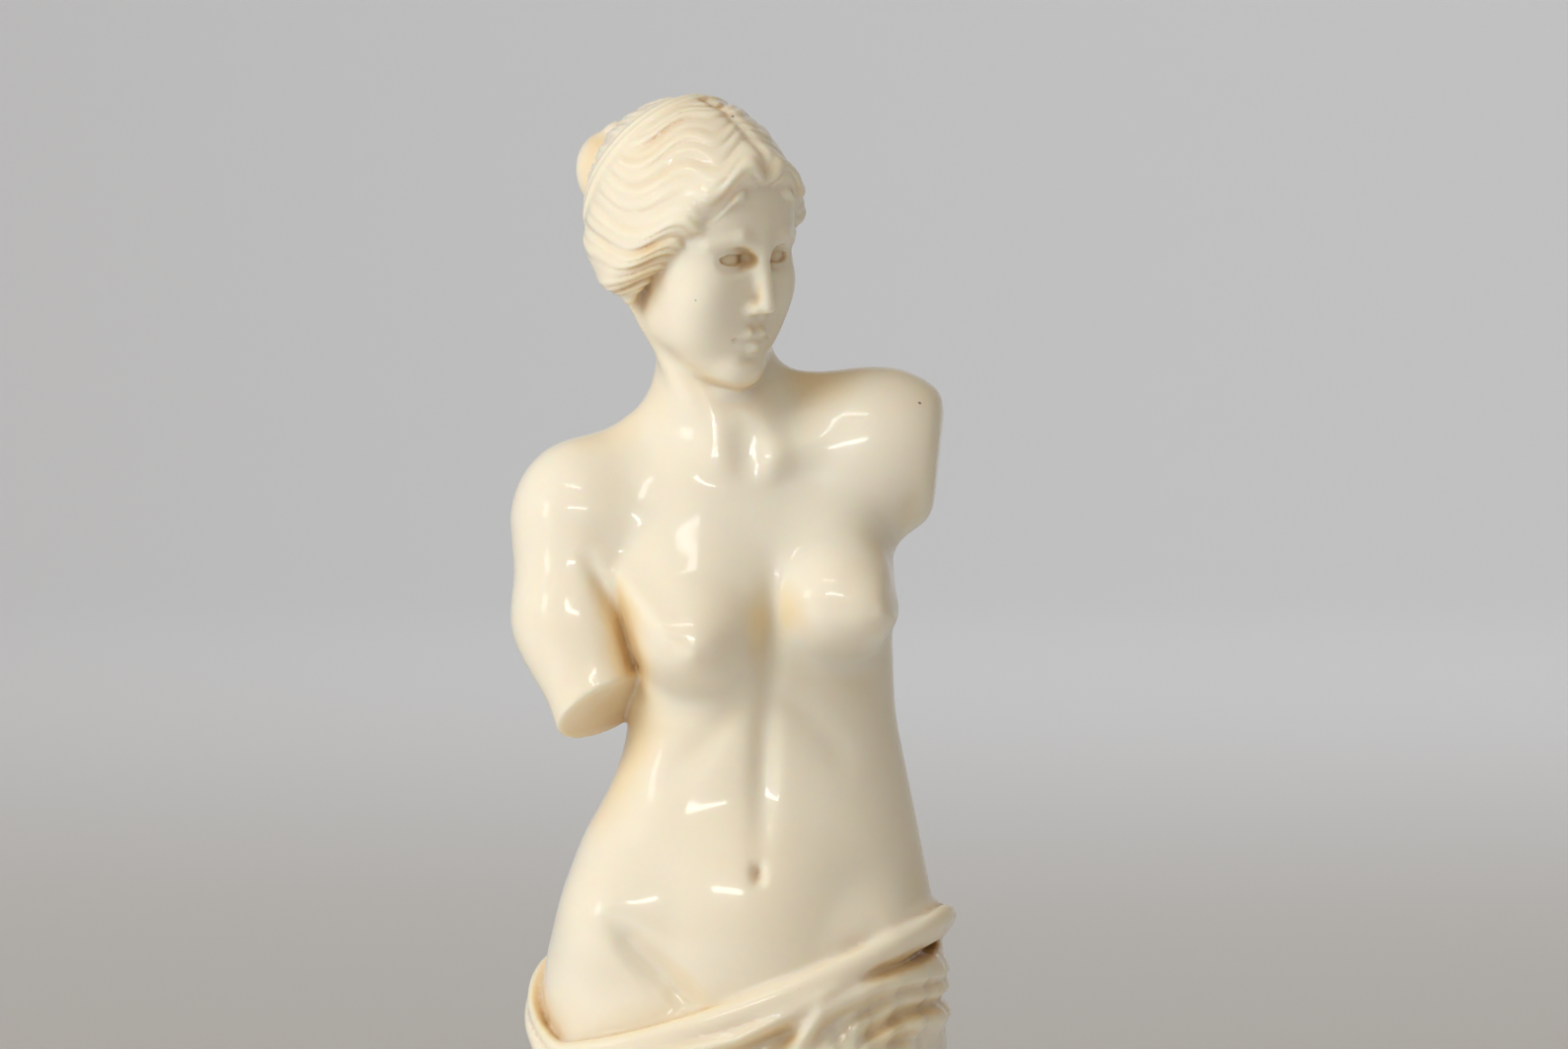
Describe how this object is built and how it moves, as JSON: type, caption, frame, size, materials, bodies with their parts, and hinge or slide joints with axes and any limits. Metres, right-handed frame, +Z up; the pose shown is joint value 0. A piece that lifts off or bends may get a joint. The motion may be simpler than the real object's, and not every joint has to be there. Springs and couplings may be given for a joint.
{
  "type": "aphrodite statue",
  "caption": "Ivory resin statuette of a half-draped classical Aphrodite on a low round plinth, 217 mm tall, her arms broken off.",
  "frame": {"origin": "centre of the plinth's flat underside, which is the bottom centre of the bounding box", "axes": "+Z up, along the figure's height; -Y the way her chest faces; +X towards her left"},
  "size_m": [0.0586, 0.0586, 0.2169],
  "materials": {
    "ivory_resin": "glossy cast resin, ivory with a tan wash left in its hollows"
  },
  "bodies": {
    "root": {"statuette": "ivory_resin"}
  },
  "joints": []
}
